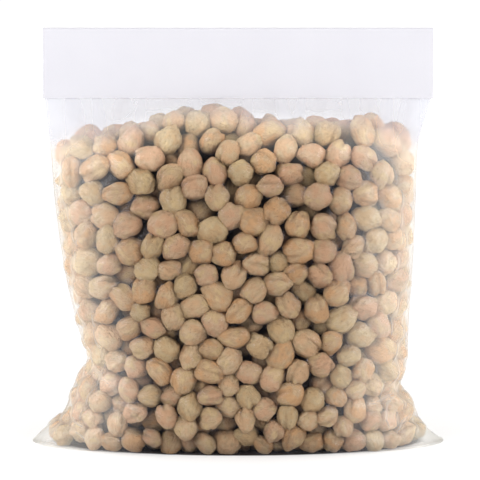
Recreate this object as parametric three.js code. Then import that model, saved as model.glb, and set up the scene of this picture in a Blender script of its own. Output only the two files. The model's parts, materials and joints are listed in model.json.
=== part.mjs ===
// A clear film bag full of dried chickpeas. It stands on its own flattened base, and a folded card header
// closes its top. Millimetres, +Z up. X runs across the bag and Y from front to back. The origin is on the
// floor, under the middle.

import * as THREE from "three";

// Driving sizes of the card header
const CARD_WIDTH = 146.2;
const CARD_BOTTOM = 131;
const CARD_HEIGHT = 26.6;
const CARD_LEAF = 0.4;
const SLOT_HALF = 0.5;

// Driving sizes of the bag
const EAR_REACH = 77.5;
const TAB_HALF_WIDTH = 72.4;
const TAB_HALF_DEPTH = 0.2;
const TAB_TOP = CARD_BOTTOM + CARD_HEIGHT - 4;
const BASE_ROUND = 1.6;

// Half-widths of the left and right flanks, as pairs of height and reach. The nick is where the corner folds.
const LEFT_FLANK = [
  [0, EAR_REACH], [4.5, 73.2], [8, 68.2], [13, 64.8], [22, 61.6], [31, 56.8],
  [42, 59.8], [62, 64.6], [88, 68.4], [112, 70.4], [CARD_BOTTOM, TAB_HALF_WIDTH],
];
const RIGHT_FLANK = [
  [0, EAR_REACH], [4.5, 71.6], [8, 68.6], [12, 67], [16.5, 65.2], [21.5, 61.4],
  [29, 63.4], [48, 64.4], [70, 65.8], [95, 66.8], [112, 67.4], [121, 69.4], [CARD_BOTTOM, TAB_HALF_WIDTH],
];
// Half-depth from the middle to the front or the back, as pairs of height and reach
const BELLY = [
  [0, 28], [4.5, 31.6], [18, 33.6], [45, 32], [75, 28.4], [100, 23],
  [114, 17], [123, 10], [128, 4], [CARD_BOTTOM, TAB_HALF_DEPTH],
];
// How square a level section is: 2 is an ellipse, and more is squarer
const SQUARENESS = [[0, 2.2], [20, 2.5], [90, 2.4], [CARD_BOTTOM, 2]];

// Driving sizes of the chickpeas, as they show through the tight film
const PEA_WIDTH = 9.2;
const PEA_ROUND_REACH = 0.6;
const PEA_ROUND_DROP = 1;
const GAP_DEPTH = 3.3;
const PEAS_AROUND = 34;
const PEA_ROWS = 15;
const FIRST_ROW = 5.4;
const ROW_PITCH = 8;
const JITTER = 1.5;
const SINK = 1;

// Heights of the plain film above the heap, and how finely the form's level rings are drawn
const FILM_RINGS = [124.5, 128, CARD_BOTTOM];
const RING_POINTS = 48;

// A repeatable random number from 0 to 1
function makeRandom(seed) {
  let state = seed;
  return () => {
    state = (state * 1664525 + 1013904223) % 4294967296;
    return state / 4294967296;
  };
}

// The value of a list of [height, value] pairs at a height, on a smooth curve through the pairs
function along(pairs, height) {
  const last = pairs.length - 1;
  if (height <= pairs[0][0]) return pairs[0][1];
  if (height >= pairs[last][0]) return pairs[last][1];
  const i = pairs.findIndex(([z]) => z > height) - 1;
  const slope = (a, b) => (pairs[b][1] - pairs[a][1]) / (pairs[b][0] - pairs[a][0]);
  const slopeAt = (k) => slope(Math.max(k - 1, 0), Math.min(k + 1, last));
  const [z0, v0] = pairs[i];
  const [z1, v1] = pairs[i + 1];
  const t = (height - z0) / (z1 - z0);
  const rise = v1 - v0;
  const startBend = slopeAt(i) * (z1 - z0) - rise;
  const endBend = rise - slopeAt(i + 1) * (z1 - z0);
  return v0 + t * rise + t * (1 - t) * ((1 - t) * startBend + t * endBend);
}

// The back half of the film's outer form at a height, from the right flank round to the left
function makeBackHalf(height) {
  const power = 2 / along(SQUARENESS, height);
  const points = [];
  for (let k = 0; k <= RING_POINTS; k++) {
    const angle = (k / RING_POINTS) * Math.PI;
    const c = Math.cos(angle);
    const reach = along(c < 0 ? LEFT_FLANK : RIGHT_FLANK, height);
    const x = Math.sign(c) * Math.abs(c) ** power * reach;
    const y = Math.sin(angle) ** power * along(BELLY, height);
    points.push(new THREE.Vector3(x, k === 0 || k === RING_POINTS ? 0 : y, height));
  }
  const half = new THREE.CatmullRomCurve3(points);
  half.arcLengthDivisions = 2 * RING_POINTS;
  return half;
}

const backHalves = new Map();
function backHalf(height) {
  if (!backHalves.has(height)) backHalves.set(height, makeBackHalf(height));
  return backHalves.get(height);
}

// A point of the film. Share runs once round the bag, evenly over the back and then over the front.
function filmPoint(share, height) {
  const turn = THREE.MathUtils.euclideanModulo(share, 1);
  const point = backHalf(height).getPointAt(turn < 0.5 ? 2 * turn : 2 - 2 * turn);
  if (turn > 0.5) point.y *= -1;
  return point;
}

// A point under the film, moved straight in by a depth
function pointUnderFilm(share, height, depth) {
  const shareStep = 0.002;
  const heightStep = 0.6;
  const across = filmPoint(share + shareStep, height).sub(filmPoint(share - shareStep, height));
  const upward = filmPoint(share, height + heightStep).sub(filmPoint(share, height - heightStep));
  return filmPoint(share, height).addScaledVector(across.cross(upward).normalize(), -depth);
}

// The filled bag as one closed surface. Staggered rows of chickpeas bulge the film, with a gap between each
// three. Places round the bag are counted in half steps, and a row has a chickpea at every second one.
function bagGeometry() {
  const random = makeRandom(11);
  const either = (reach) => (random() * 2 - 1) * reach;
  const halfSteps = 2 * PEAS_AROUND;
  const points = [];
  const faces = [];

  const makePea = () => ({ side: either(JITTER), rise: either(JITTER), sink: random() * SINK });
  const peas = Array.from({ length: PEA_ROWS }, () => Array.from({ length: PEAS_AROUND }, makePea));
  const peaAt = (row, step) => peas[row][(Math.floor(step / 2) + PEAS_AROUND) % PEAS_AROUND];
  const shareOf = (step, side) => step / halfSteps + side / (PEAS_AROUND * PEA_WIDTH);
  const rowHeight = (row) => FIRST_ROW + row * ROW_PITCH;

  // Adds a level ring of points and returns the index of its first point
  const addRing = (pointAt) => {
    const first = points.length;
    for (let step = 0; step < halfSteps; step++) points.push(pointAt(step));
    return first;
  };
  // Joins two rings by a band of faces that point outwards
  const addBand = (lower, upper) => {
    for (let step = 0; step < halfSteps; step++) {
      const next = (step + 1) % halfSteps;
      faces.push(lower + step, lower + next, upper + next, lower + step, upper + next, upper + step);
    }
  };
  // Closes a ring with a flat fan
  const addCap = (ring, facesUp) => {
    const middle = points.length;
    points.push(new THREE.Vector3(0, 0, points[ring].z));
    for (let step = 0; step < halfSteps; step++) {
      const next = (step + 1) % halfSteps;
      faces.push(middle, ring + (facesUp ? step : next), ring + (facesUp ? next : step));
    }
  };

  // The gaps under a row. Each lies between three chickpeas, one of a row and two of the other.
  const gapRing = (row) =>
    addRing((step) => {
      const overOne = (step + row) % 2 === 1;
      const middleHeight = rowHeight(row) - ROW_PITCH * (overOne ? 1 / 3 : 2 / 3);
      const isEdge = row === 0 || row === PEA_ROWS;
      if (isEdge) return filmPoint(step / halfSteps, Math.max(middleHeight, BASE_ROUND));
      const [oneRow, twoRow] = overOne ? [row - 1, row] : [row, row - 1];
      const around = [peaAt(oneRow, step), peaAt(twoRow, step - 1), peaAt(twoRow, step + 1)];
      const mean = (key) => around.reduce((sum, pea) => sum + pea[key], 0) / around.length;
      return pointUnderFilm(shareOf(step, mean("side")), middleHeight + mean("rise"), GAP_DEPTH);
    });

  // One chickpea: a top point, a shoulder of six points, and faces down to the six gaps around it
  const addPea = (row, step, lowerGaps, upperGaps) => {
    const pea = peaAt(row, step);
    const wrap = (at) => (at + halfSteps) % halfSteps;
    const share = shareOf(step, pea.side);
    const height = rowHeight(row) + pea.rise;
    const top = pointUnderFilm(share, height, pea.sink);
    const shoulder = pointUnderFilm(share, height, pea.sink + PEA_ROUND_DROP);
    const outward = top.clone().sub(shoulder).normalize();
    const [right, left] = [wrap(step + 1), wrap(step - 1)];
    const rightGaps = [lowerGaps + right, upperGaps + right];
    const leftGaps = [upperGaps + left, lowerGaps + left];
    const gaps = [...rightGaps, upperGaps + step, ...leftGaps, lowerGaps + step];
    const first = points.push(top);
    for (const gap of gaps) {
      const toGap = points[gap].clone().sub(shoulder).projectOnPlane(outward);
      points.push(shoulder.clone().add(toGap.setLength((PEA_WIDTH / 2) * PEA_ROUND_REACH)));
    }
    gaps.forEach((gap, k) => {
      const next = (k + 1) % gaps.length;
      faces.push(first - 1, first + k, first + next);
      faces.push(first + k, gap, gaps[next], first + k, gaps[next], first + next);
    });
  };

  const floorRing = addRing((step) => filmPoint(step / halfSteps, 0));
  addCap(floorRing, false);
  let gaps = gapRing(0);
  addBand(floorRing, gaps);
  for (let row = 0; row < PEA_ROWS; row++) {
    const nextGaps = gapRing(row + 1);
    for (let k = 0; k < PEAS_AROUND; k++) addPea(row, 2 * k + (row % 2), gaps, nextGaps);
    gaps = nextGaps;
  }
  let below = gaps;
  for (const height of FILM_RINGS) {
    const ring = addRing((step) => filmPoint(step / halfSteps, height));
    addBand(below, ring);
    below = ring;
  }
  const tabRing = addRing((step) => filmPoint(step / halfSteps, CARD_BOTTOM).setZ(TAB_TOP));
  addBand(below, tabRing);
  addCap(tabRing, true);

  const geometry = new THREE.BufferGeometry().setFromPoints(points).setIndex(faces);
  geometry.computeVertexNormals();
  return geometry;
}

// The card: two leaves joined by a round fold at the top, open underneath for the film
function cardGeometry() {
  const outside = SLOT_HALF + CARD_LEAF;
  const foldHeight = CARD_BOTTOM + CARD_HEIGHT - outside;
  const profile = new THREE.Shape();
  profile.moveTo(outside, CARD_BOTTOM);
  profile.lineTo(outside, foldHeight);
  profile.absarc(0, foldHeight, outside, 0, Math.PI, false);
  profile.lineTo(-outside, CARD_BOTTOM);
  profile.lineTo(-SLOT_HALF, CARD_BOTTOM);
  profile.lineTo(-SLOT_HALF, foldHeight);
  profile.absarc(0, foldHeight, SLOT_HALF, Math.PI, 0, true);
  profile.lineTo(SLOT_HALF, CARD_BOTTOM);
  const extrusion = { depth: CARD_WIDTH, bevelEnabled: false, curveSegments: 6 };
  const card = new THREE.ExtrudeGeometry(profile, extrusion);
  const profileToBag = new THREE.Matrix4().makeBasis(
    new THREE.Vector3(0, 1, 0),
    new THREE.Vector3(0, 0, 1),
    new THREE.Vector3(1, 0, 0),
  );
  return card.applyMatrix4(profileToBag).translate(-CARD_WIDTH / 2, 0, 0);
}

const chickpeaSkin = new THREE.MeshStandardMaterial({ color: "#c9a883", roughness: 0.7, metalness: 0 });
const cardPaper = new THREE.MeshStandardMaterial({ color: "#f0eff5", roughness: 0.8, metalness: 0 });

function part(name, geometry, material) {
  const mesh = new THREE.Mesh(geometry, material);
  mesh.name = name;
  return mesh;
}

const bag = new THREE.Group();
bag.add(part("filled_bag", bagGeometry(), chickpeaSkin));
bag.add(part("header_card", cardGeometry(), cardPaper));

export default bag;
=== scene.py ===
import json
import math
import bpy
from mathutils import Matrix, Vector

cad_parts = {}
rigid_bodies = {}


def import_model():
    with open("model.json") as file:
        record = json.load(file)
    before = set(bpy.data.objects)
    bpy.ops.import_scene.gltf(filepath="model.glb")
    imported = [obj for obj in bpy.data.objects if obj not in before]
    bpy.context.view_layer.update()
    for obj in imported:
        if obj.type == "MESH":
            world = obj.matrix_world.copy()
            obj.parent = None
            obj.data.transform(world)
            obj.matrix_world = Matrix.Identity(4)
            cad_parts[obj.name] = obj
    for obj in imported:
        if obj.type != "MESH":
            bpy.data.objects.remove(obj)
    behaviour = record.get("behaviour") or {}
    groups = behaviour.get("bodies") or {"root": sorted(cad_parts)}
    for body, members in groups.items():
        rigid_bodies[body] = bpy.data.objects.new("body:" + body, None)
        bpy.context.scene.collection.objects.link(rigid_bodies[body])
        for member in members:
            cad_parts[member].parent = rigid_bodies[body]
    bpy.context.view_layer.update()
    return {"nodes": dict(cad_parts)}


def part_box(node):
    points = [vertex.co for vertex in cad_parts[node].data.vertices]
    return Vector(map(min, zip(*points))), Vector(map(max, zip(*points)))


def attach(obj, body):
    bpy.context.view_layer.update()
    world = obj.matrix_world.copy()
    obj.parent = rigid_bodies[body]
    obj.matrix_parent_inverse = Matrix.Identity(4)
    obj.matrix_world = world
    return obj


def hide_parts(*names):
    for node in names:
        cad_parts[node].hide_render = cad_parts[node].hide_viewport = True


bl_info = {
    "name": "Bag of Chickpeas",
    "version": (1, 0, 0),
    "blender": (4, 5, 0),
    "location": "3D View > Sidebar > Chickpea Bag",
    "description": "Fills a clear film bag with dried chickpeas and closes it with a card header",
    "category": "Add Mesh",
}

import bmesh
import bpy
import numpy as np
from mathutils import Quaternion, Vector, noise
from mathutils.bvhtree import BVHTree

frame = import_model()

# Shapes are worked out in millimetres, and make_piece turns them into metres.
MM = 0.001

# Heights and reaches of the bag, read from the frame
EAR_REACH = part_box("filled_bag")[1][0] / MM
CARD_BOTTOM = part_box("header_card")[0][2] / MM
TAB_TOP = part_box("filled_bag")[1][2] / MM

# Half the width and half the depth of the film's flat tab in the card
TAB_HALF_WIDTH = 72.4
TAB_HALF_DEPTH = 0.2

# The film's outer form: how far its two flanks and its belly reach at each height, and how square a level
# section is there
LEFT_FLANK = [
    [0, EAR_REACH], [4.5, 73.2], [8, 68.2], [13, 64.8], [22, 61.6], [31, 56.8],
    [42, 59.8], [62, 64.6], [88, 68.4], [112, 70.4], [CARD_BOTTOM, TAB_HALF_WIDTH],
]
RIGHT_FLANK = [
    [0, EAR_REACH], [4.5, 71.6], [8, 68.6], [12, 67], [16.5, 65.2], [21.5, 61.4], [29, 63.4],
    [48, 64.4], [70, 65.8], [95, 66.8], [112, 67.4], [121, 69.4], [CARD_BOTTOM, TAB_HALF_WIDTH],
]
BELLY = [
    [0, 28], [4.5, 31.6], [18, 33.6], [45, 32], [75, 28.4], [100, 23],
    [114, 17], [123, 10], [128, 4], [CARD_BOTTOM, TAB_HALF_DEPTH],
]
SQUARENESS = [[0, 2.2], [20, 2.5], [90, 2.4], [CARD_BOTTOM, 2]]

# The top of the heap, as pairs of place across the bag and height
HEAP_TOP = [
    [-74, 111], [-67, 115.5], [-62, 117.5], [-56, 118], [-51, 118], [-47, 119.5], [-42, 121], [-37, 122],
    [-31, 123], [-26, 126], [-20, 126.5], [-14, 127], [-9, 127.5], [-5, 129.5], [-1, 128.5], [3, 124.5],
    [8, 124.5], [13, 124], [18, 123], [23, 122.5], [28, 124], [33, 123.5], [40, 122.5], [46, 123.5],
    [50, 124], [54, 121], [60, 119.5], [64, 117], [72, 108],
]

# The haze above the heap follows the heap's top, but no lower than this height
LOWEST_TOP_HAZE = 114

# Clear film beyond the chickpeas at the flanks, as pairs of height and gap
FLANK_GAP = [[0, 0.3], [10, 0.4], [35, 0.7], [CARD_BOTTOM, 0.9]]

# Chickpeas get smaller towards the base: pairs of height and size
SIZE_BY_HEIGHT = [[0, 0.84], [20, 0.88], [45, 0.97], [75, 1.0], [CARD_BOTTOM, 1.04]]

# The places of the chickpeas that lie out in each ear: across the bag, and in depth
EAR_PLACES = [(69.5, -3), (68, 5), (64, -12), (64, 10), (62, -2)]

# The lowest row lies close inside the film: its height, how far it goes to each side, how many steps of the
# film's grid a chickpea takes up, and how much of a diameter its centre lies in from the film
BASE_ROW_HEIGHT = 4.1
BASE_ROW_REACH = 60
BASE_ROW_STEPS = 11
BASE_ROW_INSET = 0.47

# Columns of chickpeas start close inside the two flanks: the lowest and highest place, the spacing in
# diameters, the depths of the middle column and of those beside it, and how much further in those lie
FLANK_COLUMN = (13.5, 108)
FLANK_SPACING = 0.88
FLANK_DEPTHS = (2.5, 9.5)
FLANK_INSET = 2

# The box in which the other chickpeas start
HEAP_BOX = ((-74, -33, 4), (74, 33, 124))

# How much the chickpeas vary in size, and the smallest and largest of them against the mean
SIZE_SPREAD = 0.065
SIZE_LIMITS = (0.84, 1.16)

# How the heap is shaken down: the steps, the drop in the first of them, how many diameters apart a near
# pair may be, how many steps pass before the near pairs are found again, how much each contact weakens a
# chickpea's shift, and how far the film may push it in at one step
SETTLE_STEPS = 420
SETTLE_DROP = 0.02
PAIR_REACH = 1.4
PAIR_STEPS = 10
CONTACT_SHARE = 0.45
MOST_PUSH = 3

# A centre lies at least this many radii above the floor, and no point is lower than the clearance
FLOOR_REACH = 1.06
FLOOR_CLEARANCE = 0.3

# Each kind of chickpea: its share of the heap, how wrinkled and how beaked it is
KINDS = {
    "cream": {"share": 0.28, "wrinkle": 1.0, "beak": 0.9},
    "tan": {"share": 0.26, "wrinkle": 0.8, "beak": 1.05},
    "rosy": {"share": 0.24, "wrinkle": 0.75, "beak": 0.8},
    "olive": {"share": 0.22, "wrinkle": 1.3, "beak": 1.2},
}

# The forms of each kind, the flats pressed into each, and a form's scale against the ball that was settled
FORMS_PER_KIND = 16
FLATS_PER_FORM = 9
FORM_SCALE = 0.99

# How many cuts the edges of a chickpea's ball get, and how deep inside the film the first two layers lie
FACE_CUTS = {"shown": 6, "second": 3, "core": 1}
LAYER_DEPTHS = (2.2, 9)

# How far a chickpea may stand out past the film's form before it is moved in
MOST_BULGE = 0.9

# The heights at which the low part and the corners of the bag begin, and at which they are full
LOW_PART = (60, 25)
CORNERS = (45, 15)

# Painted shade deep in the heap, which darkens the chickpeas' colour: how dark it is, how much lighter in
# the low part, and how far in from the film it begins and is full
DEEP_SHADE = 0.88
LOW_PART_LIGHTER = 0.04
SHADE_DEPTHS = (1.6, 11.0)

# Painted shade near the floor: how dark it is, how much lighter behind milky film, and how high it reaches
FLOOR_SHADE = 0.56
MILKY_LIGHTER = 0.48
SHADE_HEIGHT = 12.0

# Painted light that makes the chickpeas' colour paler: how much at the flanks, how much more in the left
# and right corner and in the low part, and how far below the haze it begins and is full
FLANK_PAINTED_LIGHT = 0.8
CORNER_PAINTED_LIGHT = (0.2, 0.12)
LOW_PART_PAINTED_LIGHT = 0.15
TOP_PAINTED_LIGHT = (24, 5)

# The film's grid: steps round the bag, rows up to the card, how many of them lie close near the floor and
# up to which height, and the steps that pace out half an outline
FILM_STEPS_AROUND = 440
FILM_ROWS = 200
CLOSE_ROWS = 40
CLOSE_ROWS_TOP = 12
OUTLINE_STEPS = 240

# How the film is drawn tight over the chickpeas: the steps, how far each pulls it in, the heights between
# which the pull grows above the floor and fades towards the card, the film's gap to a chickpea, and how far
# outside the form the rays start that find the chickpeas. NO_REST is for a ray that finds none.
FILM_TIGHTEN_STEPS = 500
FILM_PULL = 0.03
PULL_GROWS = (0, 10)
PULL_FADES = (104, 122)
FILM_CLEARANCE = 0.22
RAY_START = 7.0
NO_REST = -50.0

# The heights between which the film's outward directions turn level
TURNS_LEVEL = (100, 118)

# The film's base: its height above the floor, and its rings as shares of its edge
BASE_HEIGHT = 0.04
BASE_RINGS = (0.1, 0.36, 0.66, 0.9)

# How far the rows of the film's tab stand above the card's lower edge
TAB_RISES = (8.0, TAB_TOP - CARD_BOTTOM)

# How far across the left and the right half of the bag the film begins to be milky and is milkiest, and how
# much sooner it begins in the left and the right corner
MILKY_LEFT = (0.5, 1.0)
MILKY_RIGHT = (0.46, 0.95)
CORNER_SOONER = (0.1, 0.06)

# The film's haze: where it is clear, at the left and right flank, in the veil below the heap's top, above
# the heap, in the ears, in the base, in the tab, and how much of a crease's haze is added
CLEAR_HAZE = 0.003
FLANK_HAZE = (0.16, 0.18)
VEIL_HAZE = 0.06
TOP_HAZE = 0.31
EAR_HAZE = 0.06
BASE_HAZE = 0.02
TAB_HAZE = 0.3
CREASE_HAZE = 0.65

# Where the veil and the top haze begin and are full, as distances above the heap's top, and for the top
# haze as heights too
VEIL_RISE = (-17, -6)
TOP_HAZE_RISE = (-6, 2.2)
TOP_HAZE_HEIGHTS = (121, 129.5)

# Where the ears begin and are full, as heights and as shares of the way across the bag
EAR_HEIGHTS = (9, 3)
EAR_FLANK = (0.88, 0.94)

# Creases on the front and on the back of the film. Each runs through places of the form (x, height), and
# has a half-width, how far it stands off, and how much haze it adds. None stands off at the film's edge.
CREASE_END = (1.0, 0.93)
FRONT_CREASES = [
    ([(-56.5, 31.5), (-51, 28), (-47.3, 25.2), (-43, 21.5)], 1.1, 0.45, 0.16),
    ([(-50, 20.4), (-41.3, 18.7), (-36.8, 17.7), (-32.3, 15.4)], 0.45, 0.8, 0.2),
    ([(-63.5, 12), (-60, 9.6), (-56.6, 8.3)], 0.5, 0.5, 0.2),
    ([(-61.5, 7.4), (-58, 5), (-56, 3.2)], 0.5, 0.6, 0.2),
    ([(60.5, 21.5), (57, 18.5), (55.5, 12), (57.5, 5)], 0.55, 0.6, 0.2),
    ([(66, 12.5), (61.5, 9), (59, 5.5)], 0.5, 0.5, 0.2),
    ([(61, 22), (52, 19), (44, 18)], 0.7, 0.4, 0.16),
]
BACK_CREASES = [
    ([(-57, 30), (-49, 26), (-44, 19), (-42, 12)], 0.8, 0.6, 0.35),
    ([(-63, 12), (-58, 8.5), (-55, 4)], 0.6, 0.5, 0.35),
    ([(60, 22), (52, 20.5), (43, 15)], 0.9, 0.6, 0.4),
    ([(66, 11), (60, 8), (57, 4)], 0.6, 0.5, 0.35),
]

# Pleats that run down from the card: place across the bag, lean, half-width, length and haze
FRONT_PLEATS = [
    (-62, 0.10, 4.0, 26, 0.10), (-53, 0.16, 2.4, 20, 0.12), (-36, -0.10, 3.0, 18, 0.05),
    (-16, 0.08, 3.4, 16, 0.04), (4, -0.12, 3.0, 16, 0.05), (16, 0.22, 2.6, 20, 0.12),
    (24, -0.20, 2.2, 18, 0.10), (40, 0.10, 3.0, 18, 0.04), (56, -0.14, 2.8, 24, 0.14),
    (66, -0.08, 3.4, 28, 0.10),
]
BACK_PLEATS = [
    (-62, 0.12, 3.4, 24, 0.10), (-43, -0.14, 2.8, 18, 0.09), (-25, 0.12, 2.6, 17, 0.06),
    (-8, -0.10, 2.8, 18, 0.07), (12, 0.10, 3.0, 20, 0.10), (31, -0.14, 2.6, 18, 0.07),
    (49, 0.08, 3.0, 22, 0.10), (64, -0.12, 3.4, 26, 0.10),
]
PLEAT_STANDS = 0.45

# The floor reaches this far, lies just under the bag, and has a painted contact shadow where the bag
# stands.
# FOOTPRINT holds one over the reaches of that painted shadow, in metres.
FLOOR_HALF_WIDTH = 6000
FLOOR_HEIGHT = -0.1
FOOTPRINT = (1 / 0.0708, 1 / 0.0298, 0)

# The soft light: the world's strength, the point that the lights face, and each light's name, place, width
# and power
WORLD_STRENGTH = 0.25
LIGHT_TARGET = (0, 0, 70)
LIGHTS = [
    ("left_light", (-600, -420, 400), 500, 4.0),
    ("right_light", (600, -420, 400), 500, 3.8),
    ("top_light", (0, 150, 1200), 1200, 5.0),
    ("left_rim_light", (-330, 50, 170), 260, 0.4),
    ("right_rim_light", (330, 50, 170), 260, 0.4),
]

# The photograph's framing
FRAME_WIDTH = 180.5
LOOK_AT = (0.75, 0, 76.7)
CAMERA_ELEVATION = math.radians(10.5)
CAMERA_DISTANCE = 4000.0
SENSOR_WIDTH = 36.0


def along(pairs, at):
    """The values of a list of pairs at some places, on a smooth curve through the pairs."""
    places, values = np.array(pairs, dtype=float).T
    at = np.clip(at, places[0], places[-1])
    steps = np.diff(values) / np.diff(places)
    inner = (values[2:] - values[:-2]) / (places[2:] - places[:-2])
    slopes = np.concatenate([steps[:1], inner, steps[-1:]])
    i = np.clip(np.searchsorted(places, at, side="right") - 1, 0, len(places) - 2)
    span = places[i + 1] - places[i]
    t = (at - places[i]) / span
    rise = values[i + 1] - values[i]
    start_bend = slopes[i] * span - rise
    end_bend = rise - slopes[i + 1] * span
    return values[i] + t * rise + t * (1 - t) * ((1 - t) * start_bend + t * end_bend)


def smooth(low, high, value):
    """0 below low and 1 above high, with a smooth rise between them."""
    t = np.clip((value - low) / (high - low), 0, 1)
    return t * t * (3 - 2 * t)


def make_piece(name, points, faces, attributes=None):
    """A smooth-shaded mesh from points in millimetres, faces of one size, and values for each point."""
    points = np.asarray(points, dtype=np.float32) * MM
    faces = np.asarray(faces, dtype=np.int32)
    corners = faces.shape[1]
    mesh = bpy.data.meshes.new(name)
    mesh.vertices.add(len(points))
    mesh.vertices.foreach_set("co", points.ravel())
    mesh.loops.add(faces.size)
    mesh.loops.foreach_set("vertex_index", faces.ravel())
    mesh.polygons.add(len(faces))
    mesh.polygons.foreach_set("loop_start", np.arange(0, faces.size, corners, dtype=np.int32))
    mesh.polygons.foreach_set("use_smooth", np.ones(len(faces), dtype=bool))
    mesh.update(calc_edges=True)
    mesh.validate()
    for key, values in (attributes or {}).items():
        values = np.asarray(values, dtype=np.float32)
        kind, field = ("FLOAT", "value") if values.ndim == 1 else ("FLOAT_VECTOR", "vector")
        mesh.attributes.new(key, kind, "POINT").data.foreach_set(field, values.ravel())
    piece = bpy.data.objects.new(name, mesh)
    bpy.context.scene.collection.objects.link(piece)
    return piece


class Value:
    """A number that runs through a finish's nodes. Arithmetic on it adds Math nodes."""

    def __init__(self, finish, socket):
        self.finish = finish
        self.socket = socket

    def _math(self, operation, *terms):
        return self.finish.node("ShaderNodeMath", {"operation": operation}, dict(enumerate(terms)))

    def __add__(self, other):
        return self._math("ADD", self, other)

    def __sub__(self, other):
        return self._math("SUBTRACT", self, other)

    def __rsub__(self, other):
        return self._math("SUBTRACT", other, self)

    def __mul__(self, other):
        return self._math("MULTIPLY", self, other)

    def __pow__(self, other):
        return self._math("POWER", self, other)

    def __rpow__(self, other):
        return self._math("POWER", other, self)

    def __truediv__(self, other):
        return self._math("DIVIDE", self, other)

    def __rtruediv__(self, other):
        return self._math("DIVIDE", other, self)

    __radd__ = __add__
    __rmul__ = __mul__

    def limited(self, low, high):
        return self._math("MINIMUM", self._math("MAXIMUM", self, low), high)


class Finish:
    """A procedural material and the nodes that make it."""

    def __init__(self, name):
        self.material = bpy.data.materials.new(name)
        self.material.use_nodes = True
        self.tree = self.material.node_tree
        self.tree.nodes.clear()

    def node(self, kind, settings=None, inputs=None, output=0):
        """Adds a node, with its settings first and then its sockets, and returns one of its outputs."""
        node = self.tree.nodes.new(kind)
        for key, value in (settings or {}).items():
            setattr(node, key, value)
        for key, value in (inputs or {}).items():
            if isinstance(value, Value):
                self.tree.links.new(value.socket, node.inputs[key])
            else:
                node.inputs[key].default_value = value
        if not node.outputs:
            return None
        return Value(self, node.outputs[output])

    def attribute(self, name, output="Fac"):
        return self.node("ShaderNodeAttribute", {"attribute_name": name}, output=output)

    def noise(self, vector, scale, detail, roughness=0.5):
        inputs = {"Vector": vector, "Scale": scale, "Detail": detail, "Roughness": roughness}
        return self.node("ShaderNodeTexNoise", {}, inputs)

    def mix(self, share, first, second, way="MIX"):
        """A blend of two colours."""
        settings = {"data_type": "RGBA", "blend_type": way}
        return self.node("ShaderNodeMix", settings, {0: share, 6: first, 7: second}, 2)

    def bump(self, height, strength, distance):
        inputs = {"Height": height, "Strength": strength, "Distance": distance}
        return self.node("ShaderNodeBump", {}, inputs)

    def surface(self, inputs):
        return self.node("ShaderNodeBsdfPrincipled", {}, inputs)

    def finish_with(self, shader):
        self.node("ShaderNodeOutputMaterial", {}, {"Surface": shader})
        return self.material


def from_srgb(red, green, blue):
    """A linear colour from the 0 to 255 values that a picture shows."""
    def linear(value):
        share = value / 255
        return share / 12.92 if share <= 0.04045 else ((share + 0.055) / 1.055) ** 2.4

    return (linear(red), linear(green), linear(blue), 1.0)


def flank_share(x, height):
    """How far across the bag each place is: 0 at its middle and 1 at the edge of the film."""
    return np.abs(x) / np.where(x < 0, along(LEFT_FLANK, height), along(RIGHT_FLANK, height))


def milky_share(x, height):
    """How milky the bag looks at each place: more towards its flanks, and most in its lower left corner."""
    flank = flank_share(x, height)
    left_sooner, right_sooner = np.multiply.outer(CORNER_SOONER, smooth(*CORNERS, height))
    left = smooth(MILKY_LEFT[0] - left_sooner, MILKY_LEFT[1] - left_sooner, flank)
    right = smooth(MILKY_RIGHT[0] - right_sooner, MILKY_RIGHT[1], flank)
    return np.where(x < 0, left, right)


def haze_start(x):
    """The height that the haze above the heap follows."""
    return np.maximum(along(HEAP_TOP, x), LOWEST_TOP_HAZE)


def film_reach(points):
    """How far out each point is: 0 at the bag's middle line and 1 where the film stops a chickpea."""
    x, y, z = points.T
    half_width = np.where(x < 0, along(LEFT_FLANK, z), along(RIGHT_FLANK, z)) - along(FLANK_GAP, z)
    power = along(SQUARENESS, z)
    across = np.abs(x) / half_width
    deep = np.abs(y) / along(BELLY, z)
    return (across ** power + deep ** power) ** (1 / power)


def film_distance(points):
    """Each point's distance from the film, and the direction out to it."""
    step = 0.25
    moves = np.eye(3) * step
    slopes = [(film_reach(points + move) - film_reach(points - move)) / (2 * step) for move in moves]
    outward = np.stack(slopes, axis=1)
    steepness = np.linalg.norm(outward, axis=1) + 1e-9
    return (1 - film_reach(points)) / steepness, outward / steepness[:, None]


def near_pairs(points, reach):
    """The pairs of points that lie within a reach of each other."""
    squares = (points ** 2).sum(axis=1)
    apart = squares[:, None] + squares[None, :] - 2 * points @ points.T
    first, second = np.nonzero(apart < reach ** 2)
    one_way = first < second
    return first[one_way], second[one_way]


def flank_places(diameter):
    """Where chickpeas start inside the two flanks: a column along the edge, and one on each side of it."""
    middle, beside = FLANK_DEPTHS
    spacing = FLANK_SPACING * diameter
    places = []
    for number, height in enumerate(np.arange(*FLANK_COLUMN, spacing)):
        for side, flank in ((-1, LEFT_FLANK), (1, RIGHT_FLANK)):
            edge = along(flank, height) - diameter / 2
            places.append((side * edge, middle * (-1) ** number, height))
            for depth in (-beside, beside):
                places.append((side * (edge - FLANK_INSET), depth, height + spacing / 2))
    return places


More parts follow.
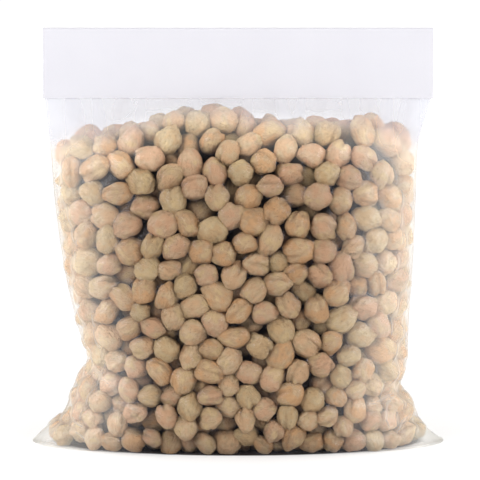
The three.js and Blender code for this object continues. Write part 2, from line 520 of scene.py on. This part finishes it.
def settle_chickpeas(count, diameter, seed):
    """The centres and radii of the chickpeas, shaken down in the film until they only just touch."""
    rng = np.random.default_rng(seed)
    ears = [(side * x, y, BASE_ROW_HEIGHT) for x, y in EAR_PLACES for side in (-1, 1)]
    row = film_rings([BASE_ROW_HEIGHT])[0][::BASE_ROW_STEPS]
    row = row[np.abs(row[:, 0]) < BASE_ROW_REACH]
    row = row - film_distance(row)[1] * BASE_ROW_INSET * diameter
    centres = np.concatenate([ears, row, flank_places(diameter)])
    while len(centres) < count:
        tries = rng.uniform(*HEAP_BOX, (4 * count, 3))
        inside = film_distance(tries)[0] > diameter / 2
        under = tries[:, 2] < along(HEAP_TOP, tries[:, 0]) - diameter / 2
        centres = np.concatenate([centres, tries[inside & under]])
    centres = centres[:count]
    spread = np.clip(rng.normal(1, SIZE_SPREAD, count), *SIZE_LIMITS)
    radii = diameter / 2 * spread * along(SIZE_BY_HEIGHT, centres[:, 2])

    for step in range(SETTLE_STEPS):
        if step % PAIR_STEPS == 0:
            first, second = near_pairs(centres, PAIR_REACH * diameter)
        apart = centres[first] - centres[second]
        distance = np.linalg.norm(apart, axis=1) + 1e-9
        overlap = radii[first] + radii[second] - distance
        touching = overlap > 0
        push = apart[touching] * (0.5 * overlap[touching] / distance[touching])[:, None]
        shift = np.zeros_like(centres)
        contacts = np.zeros(count)
        for ends, way in ((first[touching], 1), (second[touching], -1)):
            np.add.at(shift, ends, way * push)
            np.add.at(contacts, ends, 1)
        centres = centres + shift / np.maximum(1, CONTACT_SHARE * contacts)[:, None]
        centres[:, 2] -= SETTLE_DROP * (1 - step / SETTLE_STEPS)
        gap, outward = film_distance(centres)
        centres -= outward * np.clip(radii - gap, 0, MOST_PUSH)[:, None]
        ceiling = along(HEAP_TOP, centres[:, 0]) - radii
        centres[:, 2] = np.clip(centres[:, 2], FLOOR_REACH * radii, ceiling)
    return centres, radii


def ball(cuts):
    """Directions spread evenly over a ball, and the triangles between them."""
    bm = bmesh.new()
    bmesh.ops.create_icosphere(bm, subdivisions=1, radius=1)
    if cuts:
        bmesh.ops.subdivide_edges(bm, edges=bm.edges[:], cuts=cuts, use_grid_fill=True)
    bmesh.ops.triangulate(bm, faces=bm.faces[:])
    bm.verts.index_update()
    directions = np.array([vert.co.normalized() for vert in bm.verts])
    triangles = np.array([[vert.index for vert in face.verts] for face in bm.faces])
    bm.free()
    return directions, triangles


def chickpea_form(directions, seed, wrinkle, beak):
    """One chickpea: its points, how deep in a groove each is, and how near the beak.

    It has about unit radius. The beak points up, and the groove runs from it down the side that faces -X.
    """
    rng = np.random.default_rng(seed)
    x, y, z = directions.T
    radius = np.full(len(directions), 1.08)

    # Flats where its neighbours in the pod and its drying skin pressed it
    flats = rng.normal(size=(FLATS_PER_FORM, 3))
    flats /= np.linalg.norm(flats, axis=1)[:, None]
    depths = rng.uniform(0.84, 1.03, FLATS_PER_FORM)
    sharpness = 14
    planes = depths / np.maximum(directions @ flats.T, 0.05)
    soft = np.exp(-sharpness * np.minimum(planes, 3)).sum(axis=1) + np.exp(-sharpness * radius)
    radius = -np.log(soft) / sharpness + 0.08

    # The groove between its two halves, and the swell on both sides of it
    groove_run = smooth(0.3, -0.5, x) * smooth(-0.9, 0.0, z)
    groove = np.exp(-(y / rng.uniform(0.10, 0.17)) ** 2) * groove_run
    swell = np.exp(-((np.abs(y) - 0.45) / 0.3) ** 2) * groove_run
    radius += 0.10 * swell - rng.uniform(0.08, 0.18) * groove

    # Broad lumps, ridges that run down from the beak, and a few sharp wrinkles
    shift = Vector(rng.uniform(-50, 50, 3))
    lumps = np.array([noise.noise(Vector(d) * 1.5 + shift) for d in directions])
    ridges = np.array([
        noise.noise(Vector((d[0] * 3.4, d[1] * 3.4, d[2] * 0.9)) + shift) for d in directions
    ])
    wrinkles = np.array([
        abs(noise.noise(Vector((d[0], d[1], d[2] * 0.6)) * 2.8 - shift)) for d in directions
    ])
    wrinkles = np.exp(-(wrinkles / 0.07) ** 2) * smooth(-0.9, 0.3, z)
    radius += 0.11 * lumps + wrinkle * (0.085 * ridges - 0.07 * wrinkles)

    # The hooked beak
    point = np.exp(-(1 - z) / rng.uniform(0.05, 0.12)) * beak * rng.uniform(0.14, 0.30)
    points = directions * radius[:, None]
    points[:, 2] += point
    points[:, 0] += point * rng.uniform(0.1, 0.8)
    points *= rng.uniform((0.90, 0.82, 1.02), (1.04, 0.98, 1.22))

    crease = np.clip(groove + 0.8 * wrinkles, 0, 1)
    tip = np.exp(-(1 - z) / 0.09)
    return points, crease, tip


def random_turn(rng):
    """A turn to any direction, as a 3 by 3 matrix."""
    turn = Quaternion(rng.normal(size=4))
    return np.array(turn.normalized().to_matrix())


def heap_tones(points):
    """How much painted shade each point of the heap gets, and how much painted light makes it paler."""
    x, _, z = points.T
    low_part = smooth(*LOW_PART, z)
    milky = milky_share(x, z)
    depth = np.minimum(film_distance(points)[0], along(HEAP_TOP, x) - z)
    deep = (DEEP_SHADE - LOW_PART_LIGHTER * low_part) * smooth(*SHADE_DEPTHS, depth)
    painted_floor_shade = (FLOOR_SHADE - MILKY_LIGHTER * milky) * np.clip(1 - z / SHADE_HEIGHT, 0, 1) ** 1.7
    # Painted light: the chickpeas' colour is made paler at the flanks and corners, below the top haze and
    # in the low part
    flank_painted_light = milky * (FLANK_PAINTED_LIGHT + np.where(x < 0, *CORNER_PAINTED_LIGHT) * smooth(*CORNERS, z))
    top_painted_light = smooth(*TOP_PAINTED_LIGHT, haze_start(x) - z)
    # Painted shade: the chickpeas' colour is darkened deep in the heap and near the floor
    shade = 1 - (1 - deep) * (1 - painted_floor_shade)
    return shade, np.maximum(flank_painted_light, top_painted_light) + LOW_PART_PAINTED_LIGHT * low_part


def chickpea_heap(kind, centres, radii, levels, seed):
    """Joins the chickpeas of one kind into the points, triangles and point values of one mesh."""
    rng = np.random.default_rng(seed)
    facts = KINDS[kind]
    forms = {}
    balls = {level: ball(cuts) for level, cuts in FACE_CUTS.items()}
    points, triangles, values = [], [], {"crease": [], "tip": [], "tone": [], "skin": []}
    first = 0
    for centre, radius, level in zip(centres, radii, levels):
        form_seed = seed * 100 + int(rng.integers(FORMS_PER_KIND))
        directions, level_triangles = balls[level]
        if (level, form_seed) not in forms:
            forms[level, form_seed] = chickpea_form(directions, form_seed, facts["wrinkle"], facts["beak"])
        form, crease, tip = forms[level, form_seed]
        turn = random_turn(rng)
        placed = form @ turn.T * radius * FORM_SCALE + centre
        gaps, outward = film_distance(placed)
        nearest = np.argmin(gaps)
        placed += outward[nearest] * min(0, gaps[nearest] + MOST_BULGE)
        points.append(placed)
        triangles.append(level_triangles + first)
        first += len(form)
        values["crease"].append(crease)
        values["tip"].append(tip * rng.uniform(0.0, 1.0) ** 2)
        values["tone"].append(np.full(len(form), rng.uniform(0, 1)))
        values["skin"].append(form + rng.uniform(-40, 40, 3))
    joined = {key: np.concatenate(parts) for key, parts in values.items()}
    points = np.concatenate(points)
    points[:, 2] = np.maximum(points[:, 2], FLOOR_CLEARANCE)
    # Painted shade and painted light for each point, which the skin reads
    joined["shade"], joined["pale"] = heap_tones(points)
    return points, np.concatenate(triangles), joined


def chickpea_skin(name, pale, deep, warm):
    """Dry chickpea skin: mottled, darker in its creases, and browner towards the beak on some."""
    buff = from_srgb(206, 177, 130)
    crease_brown = from_srgb(152, 119, 86)
    dot_brown = from_srgb(116, 84, 56)
    beak_brown = from_srgb(182, 143, 104)
    painted_light_gain = (1.59, 1.69, 1.78, 1)
    painted_shade_colour = from_srgb(30, 22, 17)

    finish = Finish(name)
    skin = finish.attribute("skin", "Vector")
    tone = finish.attribute("tone")
    down_ridges = finish.node("ShaderNodeVectorMath", {"operation": "MULTIPLY"}, {0: skin, 1: (1, 1, 0.3)})
    patches = finish.noise(skin, 0.9, 2)
    streaks = finish.noise(down_ridges, 4.5, 3, 0.6)
    speckle = finish.noise(skin, 9, 3, 0.6)
    fine = finish.noise(skin, 26, 2, 0.6)
    dots = finish.noise(skin, 6.5, 1, 0.4)
    body = finish.mix((tone * 0.6 + (streaks - 0.5) * 1.7 + 0.2).limited(0, 1), pale, deep)
    body = finish.mix(((patches - 0.46) * 7).limited(0, 0.85), body, warm)
    body = finish.mix(((0.44 - patches) * 7).limited(0, 0.6), body, buff)
    body = finish.mix((finish.attribute("crease") * 0.42).limited(0, 1), body, crease_brown)
    body = finish.mix(((dots - 0.72) * 12).limited(0, 0.6), body, dot_brown)
    body = finish.mix((finish.attribute("tip") * 0.5).limited(0, 0.4), body, beak_brown)
    # Painted light: the pale attribute makes the skin paler at the flanks, the top and the low part
    body = finish.mix(finish.attribute("pale"), body, painted_light_gain, "MULTIPLY")
    # Painted shade: the shade attribute darkens the skin towards a near-black brown deep in the heap and
    # near the floor
    body = finish.mix(finish.attribute("shade"), body, painted_shade_colour)
    relief = finish.bump(streaks * 1.5 + speckle * 0.8 + fine * 0.3, 1.0, 0.0012)
    return finish.finish_with(
        finish.surface({
            "Base Color": body,
            "Roughness": 0.55 + speckle * 0.2,
            "Specular IOR Level": 0.3,
            "Normal": relief,
        })
    )


def film_rings(heights):
    """The film's outer form as rows of points, one for each height, evenly spaced round the bag."""
    half_count = FILM_STEPS_AROUND // 2
    angles = np.linspace(0, math.pi, OUTLINE_STEPS + 1)
    cosines = np.cos(angles)
    rows = []
    for z in heights:
        power = 2 / along(SQUARENESS, z)
        reach = np.where(cosines < 0, along(LEFT_FLANK, z), along(RIGHT_FLANK, z))
        x = np.sign(cosines) * np.abs(cosines) ** power * reach
        y = np.abs(np.sin(angles)) ** power * along(BELLY, z)
        y[[0, -1]] = 0
        paced = np.concatenate([[0], np.cumsum(np.hypot(np.diff(x), np.diff(y)))])
        even = np.linspace(0, paced[-1], half_count + 1)
        x, y = np.interp(even, paced, x), np.interp(even, paced, y)
        ring_x = np.concatenate([x, x[-2:0:-1]])
        ring_y = np.concatenate([y, -y[-2:0:-1]])
        rows.append(np.stack([ring_x, ring_y, np.full(len(ring_x), z)], axis=1))
    return np.array(rows)


def outward_directions(rows):
    """The directions out of a film grid. They turn level towards the card, where the film slopes in."""
    around = np.roll(rows, -1, axis=1) - np.roll(rows, 1, axis=1)
    upward = np.gradient(rows, axis=0)
    normals = np.cross(around, upward)
    normals /= (np.linalg.norm(normals, axis=2) + 1e-9)[:, :, None]
    normals[:, :, 2] *= 1 - smooth(*TURNS_LEVEL, rows[:, :, 2])
    return normals / (np.linalg.norm(normals, axis=2) + 1e-9)[:, :, None]


def heap_tree():
    """A search tree of all the chickpeas in the scene, in millimetres."""
    points, faces = [], []
    first = 0
    for piece in bpy.data.objects:
        if piece.name.startswith("chickpeas_"):
            count = len(piece.data.vertices)
            coordinates = np.empty(count * 3, dtype=np.float32)
            piece.data.vertices.foreach_get("co", coordinates)
            corners = np.empty(len(piece.data.loops), dtype=np.int32)
            piece.data.loops.foreach_get("vertex_index", corners)
            points.append(coordinates.reshape(-1, 3) / MM)
            faces.append(corners.reshape(-1, 3) + first)
            first += count
    return BVHTree.FromPolygons(np.concatenate(points).tolist(), np.concatenate(faces).tolist())


def tighten_film(rows, normals):
    """How far the film stands off its form at each point: drawn tight over the chickpeas, like a tent."""
    tree = heap_tree()
    rests = np.full(rows.shape[:2], NO_REST)
    for i in range(rows.shape[0]):
        for j in range(rows.shape[1]):
            out = Vector(normals[i, j])
            hit = tree.ray_cast(Vector(rows[i, j]) + out * RAY_START, -out, 2 * RAY_START)
            if hit[3] is not None:
                rests[i, j] = RAY_START - hit[3] + FILM_CLEARANCE
    for axis in (0, 1):
        rests = np.maximum(rests, np.maximum(np.roll(rests, 1, axis=axis), np.roll(rests, -1, axis=axis)))

    height = rows[:, :, 2]
    pull = FILM_PULL * (1 - smooth(*PULL_FADES, height)) * smooth(*PULL_GROWS, height)
    stand = np.maximum(rests, 0)

    # At the bag's two edges the film isn't drawn tight: it only rests on the chickpeas there
    flank_columns = [0, rows.shape[1] // 2]
    for _ in range(FILM_TIGHTEN_STEPS):
        mean = (np.roll(stand, 1, axis=1) + np.roll(stand, -1, axis=1)) / 4
        mean[1:-1] += (stand[:-2] + stand[2:]) / 4
        mean[0] += stand[1] / 2
        mean[-1] = 0
        stand = np.maximum(rests, mean - pull)
        stand[:, flank_columns] = np.maximum(rests[:, flank_columns], 0)
        stand[0] = 0
        stand[-1] = 0
    return stand


def crease_shares(x, height, creases):
    """How strongly each film point stands off and hazes over, from the creases near it."""
    stands, hazes = np.zeros_like(x), np.zeros_like(x)
    for route, half_width, stand, haze in creases:
        route = np.array(route, dtype=float)
        lengths = np.concatenate([[0], np.cumsum(np.linalg.norm(np.diff(route, axis=0), axis=1))])
        nearest, place = np.full_like(x, 1e9), np.zeros_like(x)
        for start, end, before, after in zip(route[:-1], route[1:], lengths[:-1], lengths[1:]):
            run = end - start
            t = ((x - start[0]) * run[0] + (height - start[1]) * run[1]) / (run @ run)
            t = np.clip(t, 0, 1)
            away = np.hypot(x - start[0] - t * run[0], height - start[1] - t * run[1])
            place = np.where(away < nearest, before + t * (after - before), place)
            nearest = np.minimum(nearest, away)
        share = place / lengths[-1]
        profile = np.exp(-(nearest / half_width) ** 2) * smooth(0, 0.3, share) * smooth(1, 0.6, share)
        stands += stand * profile
        hazes += haze * profile
    return stands, hazes


def pleat_shares(x, height, pleats):
    """The same for the pleats that run down from the card."""
    stands, hazes = np.zeros_like(x), np.zeros_like(x)
    for place, lean, half_width, length, haze in pleats:
        below = CARD_BOTTOM - height
        middle = place + lean * below
        spread = half_width * (0.6 + 0.8 * below / length)
        profile = np.exp(-((x - middle) / spread) ** 2) * smooth(length, 0.2 * length, below)
        stands += PLEAT_STANDS * profile * smooth(0, 3, below)
        hazes += haze * profile
    return stands, hazes


def close_skin(skin, haze, milk, ear):
    """Adds the film's base and its flat tab to its grid, and returns points, faces and point values."""
    columns = skin.shape[1]
    base = [skin[0] * (share, share, 1) for share in BASE_RINGS]
    top_edge = skin[-1]
    half_depth = np.sign(top_edge) * (0, TAB_HALF_DEPTH, 0) * (np.abs(top_edge[:, 1:2]) > 1e-3)
    tab = [top_edge * (1, 0, 1) + (0, 0, rise) + half_depth for rise in TAB_RISES]
    grid = np.concatenate([np.array(base), skin, np.array(tab)])

    row_index, column_index = np.meshgrid(np.arange(len(grid) - 1), np.arange(columns), indexing="ij")
    start = row_index * columns + column_index
    next_start = row_index * columns + (column_index + 1) % columns
    faces = np.stack([start, next_start, next_start + columns, start + columns], axis=2).reshape(-1, 4)

    values = {}
    for key, share, in_base, in_tab in (
        ("haze", haze, BASE_HAZE, TAB_HAZE), ("milk", np.clip(milk, 0, 1), 0, 0), ("ear", ear, 0, 0),
    ):
        ends = [np.full((len(rings), columns), end) for rings, end in ((base, in_base), (tab, in_tab))]
        values[key] = np.concatenate([ends[0], share, ends[1]]).ravel()
    return grid.reshape(-1, 3), faces, values


def build_film():
    """The film as one skin over the chickpeas, with its creases, its pleats and its haze."""
    low_heights = np.linspace(0, 1, CLOSE_ROWS, endpoint=False) ** 1.3 * CLOSE_ROWS_TOP
    high_heights = np.linspace(CLOSE_ROWS_TOP, CARD_BOTTOM, FILM_ROWS - CLOSE_ROWS)
    rows = film_rings(np.concatenate([low_heights, high_heights]))
    normals = outward_directions(rows)
    stand = tighten_film(rows, normals)

    x, y, height = np.moveaxis(rows, 2, 0)
    flank = flank_share(x, height)
    above = height - haze_start(x)
    top = np.maximum(smooth(*TOP_HAZE_RISE, above) ** 1.3, smooth(*TOP_HAZE_HEIGHTS, height))
    ear = smooth(*EAR_HEIGHTS, height) * smooth(*EAR_FLANK, flank)
    veil = smooth(*VEIL_RISE, above)
    milky = milky_share(x, height)
    milk = np.maximum(milky, veil) * (1 - top)
    haze = CLEAR_HAZE + (np.where(x < 0, *FLANK_HAZE) * milky + VEIL_HAZE * veil) * (1 - top)
    haze = haze + TOP_HAZE * top + EAR_HAZE * ear

    sides = ((y < 0, FRONT_CREASES, FRONT_PLEATS), (y > 0, BACK_CREASES, BACK_PLEATS))
    for on_side, creases, pleats in sides:
        for stands, hazes in (crease_shares(x, height, creases), pleat_shares(x, height, pleats)):
            stand += stands * on_side * smooth(*CREASE_END, flank)
            haze += CREASE_HAZE * hazes * on_side
            milk += hazes * on_side * (1 - top)

    skin = rows + normals * stand[:, :, None]
    skin[:, :, 2] = np.maximum(skin[:, :, 2], BASE_HEIGHT)
    return make_piece("film", *close_skin(skin, haze, milk, ear))


def film_finish(name, tint, milk, edge, ear):
    """Thin clear film: it shows what is behind it, with a milky haze where it folds or turns away."""
    finish = Finish(name)
    milkiness = finish.attribute("milk")
    colour = finish.mix(milkiness, tint, milk)
    haze = finish.attribute("haze")
    turned = finish.node("ShaderNodeLayerWeight", {}, {"Blend": 0.5}, "Facing")
    # Painted light: where the milky film turns away it takes a peach tint that stands in for the chickpeas
    # behind it
    colour = finish.mix((1.3 * milkiness * turned ** 2).limited(0, 1), colour, edge)
    colour = finish.mix(finish.attribute("ear"), colour, ear)

    # What the film mirrors, and with it all that the film holds back: more where it turns away
    mirrored = 0.012 + 0.02 * milkiness + 0.16 * turned ** 5
    share = (haze + mirrored + 0.2 * turned ** 4 + 0.4 * milkiness * turned ** 3).limited(0, 0.85)
    clear = finish.node("ShaderNodeBsdfTransparent")
    sheen = finish.surface({
        "Base Color": colour,
        "Metallic": mirrored / share,
        "Roughness": 0.16 + haze,
        "IOR": 1.5,
    })
    return finish.finish_with(finish.node("ShaderNodeMixShader", {}, {0: share, 1: clear, 2: sheen}))


def card_finish(name, colour):
    """Smooth uncoated card with a faint grain of fibres."""
    finish = Finish(name)
    place = finish.node("ShaderNodeTexCoord", {}, {}, "Object")
    fibres = finish.noise(place, 2600, 4, 0.65)
    clouds = finish.noise(place, 60, 2)
    shade = from_srgb(205, 204, 211)
    body = finish.mix(((clouds - 0.5) * 0.8 + (fibres - 0.5) * 0.5 + 0.25).limited(0, 1), colour, shade)
    return finish.finish_with(
        finish.surface({
            "Base Color": body,
            "Roughness": 0.62 + fibres * 0.2,
            "Specular IOR Level": 0.3,
            "Normal": finish.bump(fibres, 0.25, 0.0002),
        })
    )


class ChickpeaBagSizes(bpy.types.PropertyGroup):
    """The size and number of the chickpeas, and the heap that they make"""

    pea_diameter: bpy.props.FloatProperty(
        name="Chickpea Diameter", description="Mean width of a dry chickpea", default=0.0093, unit="LENGTH",
    )
    pea_count: bpy.props.IntProperty(
        name="Chickpeas", description="How many chickpeas fill the bag", default=1300, min=1,
    )
    seed: bpy.props.IntProperty(
        name="Seed", description="Which heap is shaken down", default=7,
    )


class ChickpeaBagColours(bpy.types.PropertyGroup):
    """The tints of the film and the colour of the card"""

    film_tint: bpy.props.FloatVectorProperty(
        name="Film", description="Tint of the film under the card",
        default=(0.59, 0.597, 0.685, 1.0), subtype="COLOR", size=4,
    )
    film_milk: bpy.props.FloatVectorProperty(
        name="Milky Film", description="Tint of the film at the flanks and in its creases",
        default=(0.95, 0.92, 0.875, 1.0), subtype="COLOR", size=4,
    )
    # Painted light: a peach tint where the film turns away, standing in for the chickpeas seen through its
    # haze
    painted_edge_light: bpy.props.FloatVectorProperty(
        name="Film Edges", description="Tint of the film where it turns away at the flanks",
        default=(0.69, 0.63, 0.55, 1.0), subtype="COLOR", size=4,
    )
    film_ear: bpy.props.FloatVectorProperty(
        name="Film Ears", description="Tint of the flat film in the two ears",
        default=(0.76, 0.75, 0.70, 1.0), subtype="COLOR", size=4,
    )
    card: bpy.props.FloatVectorProperty(
        name="Card", description="Colour of the card header",
        default=from_srgb(211, 210, 216), subtype="COLOR", size=4,
    )


class CHICKPEABAG_OT_chickpeas(bpy.types.Operator):
    """Fill the bag with chickpeas of four kinds"""

    bl_idname = "chickpea_bag.add_chickpeas"
    bl_label = "Add Chickpeas"

    # The pale, the deep and the warm tone of each kind's skin
    colours = {
        "cream": (from_srgb(209, 181, 146), from_srgb(189, 158, 121), from_srgb(203, 163, 124)),
        "tan": (from_srgb(205, 173, 136), from_srgb(183, 149, 112), from_srgb(202, 156, 110)),
        "rosy": (from_srgb(206, 173, 140), from_srgb(185, 152, 119), from_srgb(201, 157, 122)),
        "olive": (from_srgb(202, 177, 139), from_srgb(182, 155, 116), from_srgb(194, 160, 117)),
    }

    def execute(self, context):
        sizes = context.scene.chickpea_bag_sizes
        centres, radii = settle_chickpeas(sizes.pea_count, sizes.pea_diameter / MM, sizes.seed)
        gap = film_distance(centres)[0] - radii
        shown_depth, second_depth = LAYER_DEPTHS
        levels = np.where(gap < shown_depth, "shown", np.where(gap < second_depth, "second", "core"))
        draw = np.random.default_rng(sizes.seed + 1).uniform(size=len(centres))
        share_before = 0
        for number, (kind, facts) in enumerate(KINDS.items()):
            share_after = share_before + facts["share"]
            chosen = (draw >= share_before) & (draw < share_after)
            share_before = share_after
            heap = chickpea_heap(kind, centres[chosen], radii[chosen], levels[chosen], number + 1)
            piece = make_piece("chickpeas_" + kind, *heap)
            piece.data.materials.append(chickpea_skin("chickpea_skin_" + kind, *self.colours[kind]))
            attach(piece, "root")
            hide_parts("filled_bag")
        return {"FINISHED"}


class CHICKPEABAG_OT_film(bpy.types.Operator):
    """Draw the clear film tight over the chickpeas"""

    bl_idname = "chickpea_bag.add_film"
    bl_label = "Add Film"

    def execute(self, context):
        colours = context.scene.chickpea_bag_colours
        film = build_film()
        tints = (colours.film_tint, colours.film_milk, colours.painted_edge_light, colours.film_ear)
        film.data.materials.append(film_finish("clear_film", *tints))
        film.visible_shadow = False
        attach(film, "root")
        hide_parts("filled_bag")
        return {"FINISHED"}


class CHICKPEABAG_OT_card(bpy.types.Operator):
    """Give the folded header its card finish"""

    bl_idname = "chickpea_bag.finish_card"
    bl_label = "Finish Card"

    def execute(self, context):
        card = frame["nodes"]["header_card"]
        finish = card_finish("header_paper", context.scene.chickpea_bag_colours.card)
        card.data.materials.clear()
        card.data.materials.append(finish)
        return {"FINISHED"}


class CHICKPEABAG_OT_stage(bpy.types.Operator):
    """Add the floor, the soft lights and the camera"""

    bl_idname = "chickpea_bag.add_stage"
    bl_label = "Add Stage"

    def execute(self, context):
        scene = context.scene
        sides = ((-1, -1), (1, -1), (1, 1), (-1, 1))
        corners = [(x * FLOOR_HALF_WIDTH, y * FLOOR_HALF_WIDTH, FLOOR_HEIGHT) for x, y in sides]
        floor = make_piece("floor", corners, [(0, 1, 2, 3)])
        floor.data.materials.append(self.floor_finish())

        world = bpy.data.worlds.new("studio")
        world.use_nodes = True
        background = world.node_tree.nodes["Background"]
        background.inputs["Color"].default_value = (1, 1, 1, 1)
        background.inputs["Strength"].default_value = WORLD_STRENGTH
        scene.world = world
        scene.view_settings.view_transform = "Standard"
        for light in LIGHTS:
            self.add_light(*light)

        camera_data = bpy.data.cameras.new("camera")
        camera_data.sensor_width = SENSOR_WIDTH
        camera_data.lens = SENSOR_WIDTH * CAMERA_DISTANCE / FRAME_WIDTH
        camera_data.clip_end = 5 * CAMERA_DISTANCE * MM
        camera = bpy.data.objects.new("camera", camera_data)
        back = Vector((0, -math.cos(CAMERA_ELEVATION), math.sin(CAMERA_ELEVATION)))
        camera.location = (Vector(LOOK_AT) + back * CAMERA_DISTANCE) * MM
        camera.rotation_euler = (math.pi / 2 - CAMERA_ELEVATION, 0, 0)
        scene.collection.objects.link(camera)
        scene.camera = camera
        return {"FINISHED"}

    def floor_finish(self):
        """An even pale floor with a painted contact shadow where the bag stands on it."""
        black, white = (0, 0, 0, 1), (1, 1, 1, 1)
        painted_contact_shadow = (0.05, 0.04, 0.035, 1)
        pale_grey = (0.6, 0.6, 0.6, 1)

        finish = Finish("pale_floor")
        place = finish.node("ShaderNodeTexCoord", {}, {}, "Object")
        away = finish.node("ShaderNodeVectorMath", {"operation": "LENGTH"}, {0: place}, "Value")
        reach = finish.node("ShaderNodeVectorMath", {"operation": "MULTIPLY"}, {0: place, 1: FOOTPRINT})
        reach = finish.node("ShaderNodeVectorMath", {"operation": "LENGTH"}, {0: reach}, "Value")
        # Painted contact shadow: inside the bag's footprint the floor is near-black and gives no glow
        outside_painted_shadow = ((reach - 0.95) * 20).limited(0, 1)
        glow = outside_painted_shadow * (0.36 + 0.55 * away).limited(0, 0.78)
        return finish.finish_with(
            finish.surface({
                "Base Color": finish.mix(outside_painted_shadow, painted_contact_shadow, pale_grey),
                "Roughness": 0.9,
                "Specular IOR Level": 0.0,
                "Emission Color": finish.mix(glow, black, white),
                "Emission Strength": 1.0,
            })
        )

    def add_light(self, name, place, size, power):
        """A square soft light that faces the bag, and that the camera doesn't see."""
        data = bpy.data.lights.new(name, "AREA")
        data.size = size * MM
        data.energy = power
        light = bpy.data.objects.new(name, data)
        light.location = Vector(place) * MM
        towards = Vector(LIGHT_TARGET) - Vector(place)
        light.rotation_euler = towards.to_track_quat("-Z", "Y").to_euler()
        light.visible_camera = False
        bpy.context.scene.collection.objects.link(light)


class CHICKPEABAG_PT_panel(bpy.types.Panel):
    bl_label = "Chickpea Bag"
    bl_idname = "CHICKPEABAG_PT_panel"
    bl_space_type = "VIEW_3D"
    bl_region_type = "UI"
    bl_category = "Chickpea Bag"

    def draw(self, context):
        layout = self.layout
        for group in (context.scene.chickpea_bag_sizes, context.scene.chickpea_bag_colours):
            for name in group.bl_rna.properties.keys():
                if name not in ("rna_type", "name"):
                    layout.prop(group, name)
        for operator in OPERATORS:
            layout.operator(operator.bl_idname)


OPERATORS = (
    CHICKPEABAG_OT_chickpeas,
    CHICKPEABAG_OT_film,
    CHICKPEABAG_OT_card,
    CHICKPEABAG_OT_stage,
)
CLASSES = (ChickpeaBagSizes, ChickpeaBagColours, *OPERATORS, CHICKPEABAG_PT_panel)


def register():
    for cls in CLASSES:
        bpy.utils.register_class(cls)
    bpy.types.Scene.chickpea_bag_sizes = bpy.props.PointerProperty(type=ChickpeaBagSizes)
    bpy.types.Scene.chickpea_bag_colours = bpy.props.PointerProperty(type=ChickpeaBagColours)


def unregister():
    del bpy.types.Scene.chickpea_bag_colours
    del bpy.types.Scene.chickpea_bag_sizes
    for cls in reversed(CLASSES):
        bpy.utils.unregister_class(cls)


def main():
    register()
    bpy.ops.chickpea_bag.add_chickpeas()
    bpy.ops.chickpea_bag.add_film()
    bpy.ops.chickpea_bag.finish_card()
    bpy.ops.chickpea_bag.add_stage()


if __name__ == "__main__":
    main()
